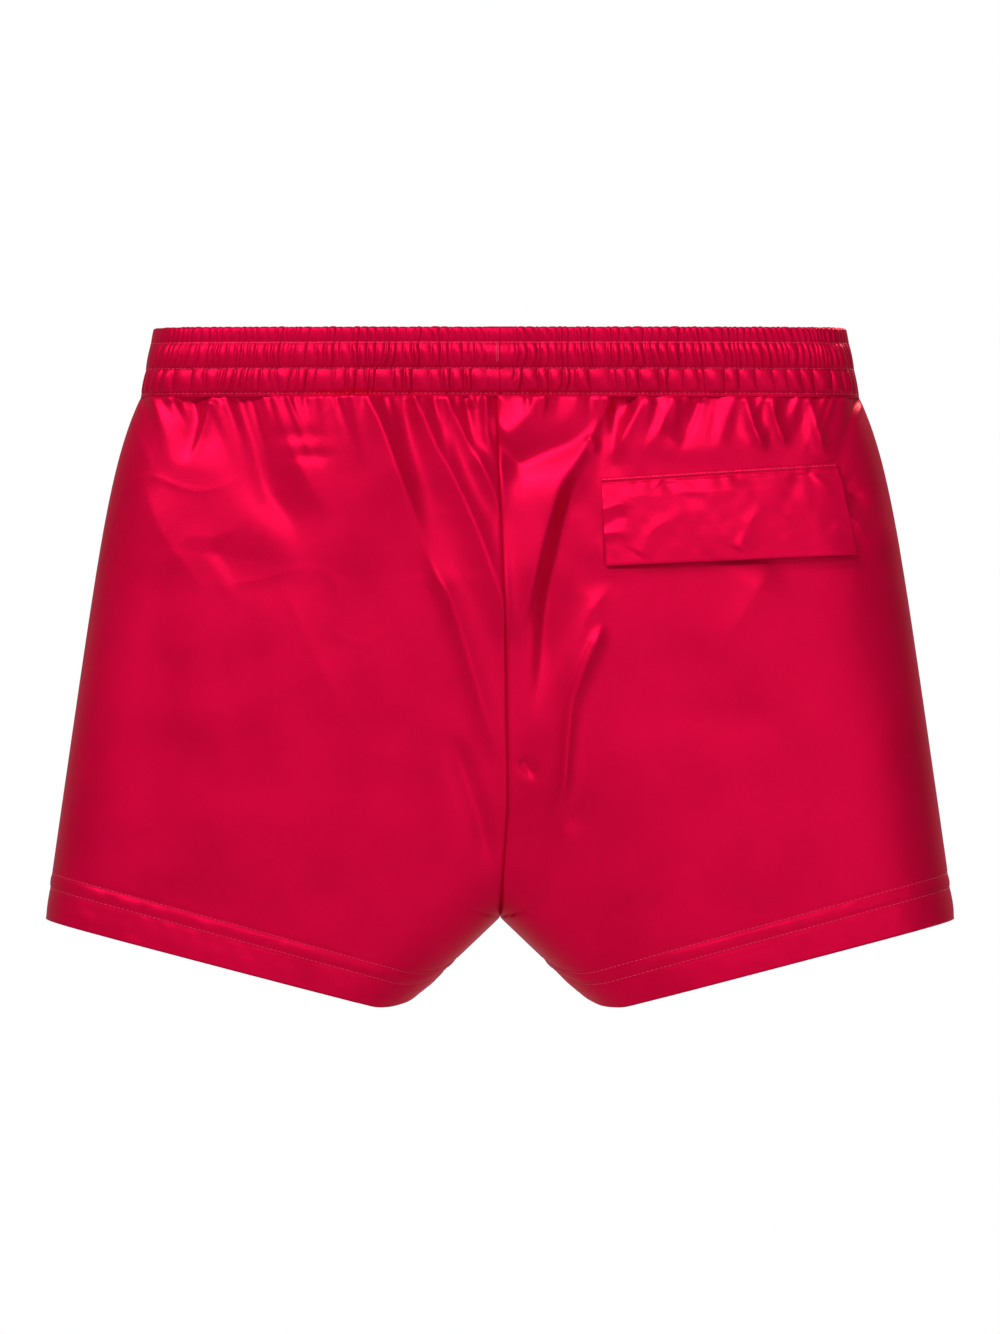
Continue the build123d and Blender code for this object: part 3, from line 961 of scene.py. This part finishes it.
flap = {
    "outerOffset": 3.45 * mm,
    "strip": 2.6 * mm,  # the stitched strip above the fold
    "stripHeight": 0.9 * mm,
    "turn": (0.2 * mm, 9 * mm),
    "ridges": ((0.35, -1.5, 0.8), (-0.5, 0.1, 0.45), (0.55, 1.2, 0.9)),  # height, place and width, mm
    "wrinkles": 1.7,
    "soft": ((0.75 * mm, 17 * mm), (0.16 * mm, 6 * mm)),
    "pucker": (0.35 * mm, 4 * mm),
    "crown": 0.5 * mm,
    "flare": 1.4 * mm,
    "flareOver": 46 * mm,
    "rolledEdge": (0.35 * mm, 1.2 * mm),
    "liningCrown": 0.3 * mm,
    "liningFlare": 1.1 * mm,
    "liningGap": 0.65 * mm,
    "cloth": 0.6 * mm,
    "liningCloth": 0.45 * mm,
    "inset": 0.8 * mm,
    "mouthBelow": 7 * mm,
    "mouth": (112 * mm, 2.4 * mm),
}
flapFolds = [  # along and down from the middle of the flap's top edge
    ([(-62, 14), (-54, 12), (-46, 14)], 0.5, 1.6, 1.6, 0.02, 0.5),
    ([(-63, 22), (-56, 19), (-50, 16)], -0.55, 1.5, 1.5, 0.02, 0.5),
    ([(-63, 27), (-56, 27), (-48, 30)], 0.45, 2, 2, 0.02, 0.5),
    ([(64, 30), (58, 29), (50, 33)], 0.5, 2, 2, 0.02, 0.5),
    ([(42, 0), (36, 10), (32, 18)], -0.6, 3, 4, 0.02, 0.5),
    ([(-30, 0), (-22, 9), (-4, 10)], -0.5, 4, 3, 0.05, 0.5),
    ([(48, 1), (52, 6), (58, 8)], 0.4, 2, 2, 0.05, 0.5),
    ([(4, 40), (12, 26), (22, 16)], 0.5, 6, 4, 0.1, 0.5),
    ([(-48, 40), (-38, 26), (-18, 18)], 0.45, 5, 5, 0.1, 0.5),
]


def backPatch(top, bottom, halfTop, halfBottom, rows, columns, start=0.0, lying=False, hanging=False):
    # Grid on the right of the back, laid out from the flap's own top edge, with its outward directions
    down = np.linspace(top, bottom, rows)[:, None] * np.ones(columns)
    half = halfTop + (halfBottom - halfTop) * (down - top) / (bottom - top)
    along = start + half * np.linspace(-1, 1, columns)
    c, s = np.cos(pocket["tilt"]), np.sin(pocket["tilt"])
    slid = along + pocket["lean"] * hanging * np.maximum(down, 0)
    fallen = down * (1 + pocket["drop"] * hanging * (1 + 2 * along / pocket["flapWidth"]))
    x = pocket["flapMiddle"] + slid * c + fallen * s
    z = pocket["flapTop"] + slid * s - fallen * c
    point = np.stack([-x, shellY(x, z, shape["seatFullness"]), z], -1)
    normal = gridNormals(point)
    if normal[..., 1].sum() < 0:
        normal = -normal
    if lying:
        point = point + normal * relief(-x, z, True)[..., None]
    return point, normal, along, down


def patchSheet(name, patch, low, high):
    point, normal = patch[:2]
    low, high = np.broadcast_to(low, point.shape[:2]), np.broadcast_to(high, point.shape[:2])
    piece = closedSheet(name, point + normal * high[..., None], point + normal * low[..., None], False)
    closeUp(piece, 0.002 * mm)
    return piece


def flapRise(down):
    # How far the flap stands off the back: it turns outwards below its stitched strip
    start, over = flap["turn"]
    strip = flap["stripHeight"]
    return strip + (flap["outerOffset"] - strip) * smooth((down + start) / over)


def edgeDistance(along, down, width, height, middle=0.0, top=0.0):
    # Distance inwards from the edge of a rectangle
    return np.minimum(width / 2 - np.abs(along - middle), height / 2 - np.abs(down - top - height / 2))


# The flap's outer cloth, from the stitched strip over the fold and down
halfFlap = pocket["flapWidth"] / 2
halfFoot = halfFlap + pocket["splay"]
flapFoot = pocket["flapHeight"]
patch = backPatch(-flap["strip"], flapFoot, halfFlap - 0.3 * mm, halfFoot, 84, 230, hanging=True)
along, down = patch[2:]
height = flapRise(down)
for rise, at, width in flap["ridges"]:
    height = height + rise * mm * bell(down, at * mm, width * mm)
wrinkle = np.zeros(along.shape)
for points, rise, *rest in flapFolds:
    wrinkle += foldRelief(along, down, points, flap["wrinkles"] * rise, *rest)
wrinkle += sum(rise * noise(along, down, size, 71 + i) for i, (rise, size) in enumerate(flap["soft"]))
rise, size = flap["pucker"]
pucker = rise * noise(along, 0 * along, size, 73) * bell(down, 0, size)
wrinkle += flap["crown"] * (1 - (along / halfFlap) ** 2) + flap["flare"] * smooth(down / flap["flareOver"])
rise, width = flap["rolledEdge"]
inside = np.minimum(halfFlap + 3 * mm - np.abs(along), flapFoot - down)
height = height + pucker + smooth(down / (3 * mm)) * (wrinkle - rise * smooth(1 - inside / width))
flapOuter = patchSheet("flapOuter", patch, height - flap["cloth"], height)
finish(flapOuter, flapSatinPaintedLighter, "pocket_flap_outer", rides=None)


def flapPoint(down, offset):
    # A place on the flap's middle line
    patch = backPatch(down - 1 * mm, down + 1 * mm, 5 * mm, 5 * mm, 3, 3)
    return tuple(patch[0][1, 1] + patch[1][1, 1] * offset)


bend = (flapPoint(-0.6 * mm, 1 * mm), flapPoint(2.6 * mm, 1 * mm))
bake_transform(flapOuter)

inset = flap["inset"]
patch = backPatch(4 * mm, flapFoot - inset, halfFlap + 0.3 * mm - inset, halfFoot - inset, 60, 150, hanging=True)
along, down = patch[2:]
lining = flapRise(down) - flap["cloth"] - flap["liningGap"] + flap["liningCrown"] * (1 - (along / halfFlap) ** 2)
lining = lining + flap["liningFlare"] * smooth(down / flap["flareOver"])
flapLining = patchSheet("flapLining", patch, lining - flap["liningCloth"], lining)
finish(flapLining, flapSatinPaintedLighter, "pocket_flap_lining", rides="pocket_flap")


def joined(pieces, name):
    select(*pieces)
    bpy.ops.object.join()
    piece = bpy.context.object
    piece.name = name
    piece.data.name = name
    piece.select_set(False)
    return piece


tape = {
    "width": 25 * mm,
    "height": 16 * mm,
    "fromEnd": 8 * mm,
    "fromFoot": 6 * mm,
    "nap": (0.08 * mm, 0.9 * mm),
    "edge": (0.25 * mm, 0.7 * mm),
    "hook": (1.55 * mm, 2.28 * mm),  # its two faces' distances from the back
    "loop": (0.02 * mm, 0.85 * mm),
}


def tapePair(kind, lying, seed):
    # The two rectangles of one half of the closure, with a napped, slightly uneven face
    name = kind + "Tape"
    low, high = tape[kind]
    parts = []
    top = flapFoot - tape["fromFoot"] - tape["height"]
    half = tape["width"] / 2
    for end in (-1, 1):
        middle = end * (halfFlap - tape["fromEnd"] - half)
        patch = backPatch(top, top + tape["height"], half, half, 40, 60, middle, lying)
        rise, size = tape["nap"]
        nap = rise * noise(patch[2], patch[3], size, seed)
        rise, size = tape["edge"]
        nap = nap - rise * np.exp(-edgeDistance(*patch[2:], tape["width"], tape["height"], middle, top) / size)
        if lying:
            parts.append(patchSheet(name + str(end), patch, low, high + nap))
        else:
            parts.append(patchSheet(name + str(end), patch, low - nap, high))
    return joined(parts, name)


hookTape = tapePair("hook", False, 81)
loopTape = tapePair("loop", True, 82)

mouthHalf = flap["mouth"][0] / 2
weltTop = flap["mouthBelow"] + flap["mouth"][1]
weltShape = {
    "past": 3 * mm,
    "height": 10 * mm,
    "thick": 0.75 * mm,
    "edge": 0.35 * mm,
    "groove": 0.25 * mm,
    "soft": 0.5 * mm,
}
half = mouthHalf + weltShape["past"]
patch = backPatch(weltTop, weltTop + weltShape["height"], half, half, 24, 150, lying=True)
edge = edgeDistance(*patch[2:], 2 * half, weltShape["height"], 0, weltTop)
swell = weltShape["thick"] - weltShape["edge"] * np.exp(-edge / weltShape["soft"])
swell = swell - weltShape["groove"] * bell(edge, 1.6 * mm, weltShape["soft"])
welt = patchSheet("pocketWelt", patch, 0.03 * mm, swell)
finish(welt, shellSatin, "pocket_welt")

bag = {
    "width": 128 * mm,
    "height": 140 * mm,
    "aboveMouth": 12 * mm,
    "cloth": 0.35 * mm,
    "layers": (("bagOuter", "pocket_bag_outer", 1.35 * mm), ("bagInner", "pocket_bag_inner", 2.6 * mm)),
    "edgeDepth": 1.8 * mm,  # both layers meet this far behind the back panel
    "edgeOver": 3 * mm,
    "ripples": ((0.2 * mm, 18 * mm), (0.06 * mm, 6 * mm)),
}
bagPieces = []
for seed, (name, node, depth) in enumerate(bag["layers"], 91):
    top = flap["mouthBelow"] - bag["aboveMouth"]
    patch = backPatch(top, top + bag["height"], bag["width"] / 2, bag["width"] / 2, 130, 120, lying=True)
    low = -depth - bag["cloth"]
    for i, (rise, size) in enumerate(bag["ripples"]):
        low = low + rise * noise(patch[2], patch[3], size, seed + 5 * i)
    edge = edgeDistance(*patch[2:], bag["width"], bag["height"], 0, top)
    low = low + (depth - bag["edgeDepth"]) * np.exp(-edge / bag["edgeOver"])
    piece = patchSheet(name, patch, low, low + bag["cloth"])
    bagPieces.append(piece)
    finish(piece, flapSatinPaintedLighter, node)

# The pocket's mouth goes through the right back panel and the bag's outer layer
for piece in (panels["back", "right"][0], bagPieces[0]):
    patch = backPatch(flap["mouthBelow"], weltTop, mouthHalf, mouthHalf, 6, 90, lying=True)
    cutWith(piece, [patchSheet("mouthCutter", patch, -2.05 * mm, 3 * mm)])
print("pocket made")

labels = {
    "care": (30 * mm, 55 * mm, -35.8 * mm),  # width, height and top
    "size": (18 * mm, 13 * mm, -8 * mm),
    "depth": 34.6 * mm,
    "thick": 0.3 * mm,
    "curl": (0.35 * mm, 16 * mm),
    "bow": (0.25 * mm, 15 * mm),
}
labelPieces = []
for name in ("care", "size"):
    wide, tall, top = labels[name]
    u, v = np.meshgrid(np.linspace(-1, 1, 60), np.linspace(0, 1, 80))
    rise, size = labels["curl"]
    y = labels["depth"] + rise * noise(u * wide, v * tall, size, 95) * smooth(v * 4)
    rise, size = labels["bow"]
    y = y - rise * (u * wide / size) ** 2
    face = np.stack([u * wide / 2, y, top - v * tall], -1)
    behind = face + np.array([0, labels["thick"], 0])
    piece = closedSheet(name + "Label", behind, face, True)
    closeUp(piece, 0.002 * mm)
    labelPieces.append(piece)


def stitchSeed():
    # One stitch, a small grain of thread about a unit long
    bpy.ops.mesh.primitive_uv_sphere_add(segments=6, ring_count=4, radius=0.5)
    grain = bpy.context.object
    verts = np.array([v.co[:] for v in grain.data.vertices])
    faces = [tuple(f.vertices) for f in grain.data.polygons]
    bpy.data.objects.remove(grain, do_unlink=True)
    return verts[:, [2, 0, 1]], faces


thread = {
    "pitch": 2.45 * mm,
    "length": 1.95 * mm,
    "width": 0.42 * mm,
    "height": 0.34 * mm,
    "lift": 0.10 * mm,
    "flapPitch": 2.3 * mm,
    "flapLift": 1.28 * mm,
    "bars": ((1.8 * mm, -8.3 * mm, -19 * mm), (0.9 * mm, -8.6 * mm, -18.4 * mm)),  # x, top and foot
    "barPitch": 1.5 * mm,
}
seedVerts, seedFaces = stitchSeed()


def stitchRow(name, paths, seed, pitch=thread["pitch"]):
    # Stitches along lines on the cloth; each path is its points and their outward directions
    draw = np.random.RandomState(seed)
    verts, faces = [], []
    for points, normals in paths:
        run = runAlong(points)
        for at in np.arange(pitch * 0.5, run[-1] - pitch * 0.4, pitch):
            half = thread["length"] / 2
            spot = [[np.interp(v, run, points[:, k]) for k in range(3)] for v in (at - half, at, at + half)]
            ahead = unit(np.array(spot[2]) - np.array(spot[0]))
            out = np.array([np.interp(at, run, normals[:, k]) for k in range(3)])
            out = unit(out - ahead * (out @ ahead))
            side = np.cross(out, ahead)
            tip = ahead + side * draw.uniform(-0.07, 0.07)
            size = draw.uniform(0.92, 1.05)
            base = len(verts) * len(seedVerts)
            grain = (
                seedVerts[:, :1] * tip * thread["length"] * size
                + seedVerts[:, 1:2] * side * thread["width"]
                + seedVerts[:, 2:3] * out * thread["height"]
            )
            verts.append(grain + np.array(spot[1]) + out * thread["lift"])
            faces += [tuple(base + v for v in face) for face in seedFaces]
    return meshFrom(name, np.concatenate(verts), faces)


def lineAt(grids, heights, at):
    # Points and outward directions along the line where each column reaches one height
    columns = range(heights.shape[1])
    return [
        np.array([[np.interp(at, heights[:, j], grid[:, j, k]) for k in range(3)] for j in columns])
        for grid in grids
    ]


def acrossBand(part, z):
    levels = part[3]
    heights = np.repeat(levels[:, None], part[1].shape[1], axis=1)
    return lineAt([grid[: len(levels)] for grid in part[1:3]], heights, z)


def downBand(part, column, levels):
    grids = [grid[: len(part[3]), column] for grid in part[1:3]]
    return [np.stack([np.interp(levels, part[3], grid[:, k]) for k in range(3)], -1) for grid in grids]


def trim(name, look, pattern, low, high, strength, depth, sheen=None):
    # A two-toned material whose pattern also gives its relief
    color, roughness, metallic = look
    material, tree, shader = newMaterial(name, color, roughness, metallic)
    if sheen:
        shader.inputs["Sheen Weight"].default_value = sheen
        shader.inputs["Sheen Tint"].default_value = (1.0, 0.3, 0.4, 1)
    value = pattern(tree)
    addMix(tree, value, low, high, shader.inputs["Base Color"])
    addBump(tree, value, strength, depth, shader)
    return material, shader


def grain(scale, detail):
    return lambda tree: addNoise(tree, objectPlace(tree), scale, detail)


look = ((0.66, 0.012, 0.075), 0.5, 0.0)
threadMaterial, shader = trim(
    "redThread", look, grain(1600, 1), (0.5, 0.004, 0.045), (0.78, 0.03, 0.11), 0.3, 0.1 * mm, sheen=0.2
)
shader.inputs["Specular IOR Level"].default_value = 0.3

stitches = []
for k, down in enumerate(band["stitchRows"]):
    paths = [acrossBand(bands[part], -down) for part in bands]
    stitches.append((stitchRow(f"bandStitches{k + 1}", paths, 101 + k), "waistband_satin"))
for side in ("left", "right"):
    for k, up in enumerate(hem["rows"]):
        parts = [panels[place, side] for place in ("back", "front")]
        paths = [lineAt([grid[::-1] for grid in part[1:3]], part[3][::-1], up) for part in parts]
        stitches.append((stitchRow(f"hemStitches{side.capitalize()}{k + 1}", paths, 111 + k), "shell_satin"))
patch = backPatch(-1.9 * mm, -1.1 * mm, halfFlap - 1 * mm, halfFlap - 1 * mm, 3, 160)
line = patch[0][1] + patch[1][1] * thread["flapLift"]
stitches.append((stitchRow("flapStitches", [(line, patch[1][1])], 121, thread["flapPitch"]), "flap_satin"))
part = bands["back", "left"]
paths = []
for x, top, foot in thread["bars"]:
    column = int(np.argmin(np.abs(part[1][20, :, 0] - x)))
    paths.append(downBand(part, column, np.linspace(foot, top, 12)))
stitches.append((stitchRow("jointStitches", paths, 125, thread["barPitch"]), "waistband_satin"))
levels = np.linspace(-34.5 * mm, -2 * mm, 40)
paths = [downBand(bands["insert"], column, levels) for column in (2, -3)]
stitches.append((stitchRow("insertStitches", paths, 127), "waistband_satin"))
for piece, slot in stitches:
    finish(piece, threadMaterial)
print("stitches made")

look = ((0.36, 0.002, 0.03), 0.85, 0.0)
napMaterial = trim(
    "napTape", look, grain(2400, 3), (0.22, 0.001, 0.018), (0.5, 0.008, 0.05), 0.8, 0.4 * mm, sheen=0.5
)[0]
finish(hookTape, napMaterial, "flap_hook_tape", rides="pocket_flap")
finish(loopTape, napMaterial, "pocket_loop_tape")

labelMaterial, tree, shader = newMaterial("labelSatin", (0.85, 0.84, 0.8), 0.45)
uv = clothPlace(tree)
place = objectPlace(tree)
warp = addWave(tree, uv, "X", 0.3 * mm, 1)
weft = addWave(tree, uv, "Y", 0.45 * mm, 1)
weave = addMath(tree, "ADD", warp, weft)
tone = addNoise(tree, place, 60)
addMix(tree, tone, (0.78, 0.77, 0.72), (0.88, 0.87, 0.84), shader.inputs["Base Color"])
addBump(tree, weave, 0.25, 0.12 * mm, shader)
for piece, node, flat in zip(labelPieces, ("care_label", "size_label"), ((0.030, 0.055), (0.018, 0.013))):
    finish(piece, labelMaterial, node)

look = ((0.8, 0.79, 0.76), 0.75, 0.0)
elastic = trim(
    "elasticWebbing", look, lambda tree: addWave(tree, objectPlace(tree), "Z", 1.5 * mm, 0.4),
    (0.68, 0.67, 0.63), (0.84, 0.83, 0.80), 0.6, 0.4 * mm,
)[0]
metal, tree, shader = newMaterial("nickelPlate", (0.72, 0.70, 0.67), 0.24, 1.0)
place = objectPlace(tree)
wear = addNoise(tree, place, 420, 4)
tree.links.new(addRange(tree, wear, 0.3, 0.7, 0.18, 0.36), shader.inputs["Roughness"])
addMix(tree, wear, (0.62, 0.60, 0.57), (0.78, 0.76, 0.73), shader.inputs["Base Color"])
addBump(tree, addNoise(tree, place, 2500, 2), 0.05, 0.05 * mm, shader)
fittings = {name: metal for name in ("eyelet_left", "eyelet_right", "eyelet_washer_left", "eyelet_washer_right")}
for node, material in {**fittings, "waist_elastic": elastic}.items():
    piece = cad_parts[node]
    piece.data.materials.clear()
    piece.data.materials.append(material)
print("trims made")

view = {"distance": 6.0, "height": -0.1797, "width": 0.530, "sensor": 36, "clip": 60}
camera = placed("camera", bpy.data.cameras.new("camera"))
camera.location = (0, view["distance"], view["height"])
camera.rotation_euler = (pi / 2, 0, pi)
camera.data.sensor_fit = "HORIZONTAL"
camera.data.sensor_width = view["sensor"]
camera.data.lens = view["sensor"] * view["distance"] / view["width"]
camera.data.clip_end = view["clip"]
bpy.context.scene.camera = camera

lights = {  # place, aim, size and power
    "keyLight": ((1.2, 1.6, 1.6), (0, 0, -0.15), 0.6, 32),
    "glossLight": ((0.1, 2.3, 1.2), (0, 0, -0.17), 0.7, 17),
    "fillLight": ((-0.9, 2.2, -0.2), (0, 0, -0.18), 1.4, 7),
    "topLight": ((0.5, 1.2, 2.0), (0, 0, 0), 0.8, 16),
    "frontKey": ((-1.2, -1.8, 1.4), (0, 0, -0.15), 0.6, 34),
}
for name, (place, aim, size, power) in lights.items():
    light = bpy.data.lights.new(name, "AREA")
    light.shape = "DISK"
    light.size = size
    light.energy = power
    lamp = placed(name, light)
    lamp.location = place
    lamp.rotation_euler = (Vector(aim) - Vector(place)).to_track_quat("-Z", "Y").to_euler()



def forCamera(tree, usual, seen, target):
    # Shows one shader to the camera, and lights the scene with the other
    mixer = tree.nodes.new("ShaderNodeMixShader")
    ray = tree.nodes.new("ShaderNodeLightPath")
    tree.links.new(ray.outputs["Is Camera Ray"], mixer.inputs["Fac"])
    tree.links.new(usual.outputs[0], mixer.inputs[1])
    tree.links.new(seen.outputs[0], mixer.inputs[2])
    tree.links.new(mixer.outputs[0], target)


world = bpy.data.worlds.new("studio")
bpy.context.scene.world = world
world.use_nodes = True
tree = world.node_tree
tree.nodes.clear()
skies = []
for strength in (0.3, 1.0):
    sky = tree.nodes.new("ShaderNodeBackground")
    sky.inputs["Color"].default_value = (1, 1, 1, 1)
    sky.inputs["Strength"].default_value = strength
    skies.append(sky)
forCamera(tree, *skies, tree.nodes.new("ShaderNodeOutputWorld").inputs["Surface"])
bpy.context.scene.view_settings.view_transform = "Standard"

bpy.ops.mesh.primitive_plane_add(size=24, location=(0, 0, -0.66))
floor = bpy.context.object
floor.name = "floor"
floorMaterial, tree, shader = newMaterial("floorWhite", (0.6, 0.6, 0.6), 0.9)
forCamera(tree, shader, tree.nodes.new("ShaderNodeEmission"), tree.nodes["Material Output"].inputs["Surface"])
floor.data.materials.append(floorMaterial)
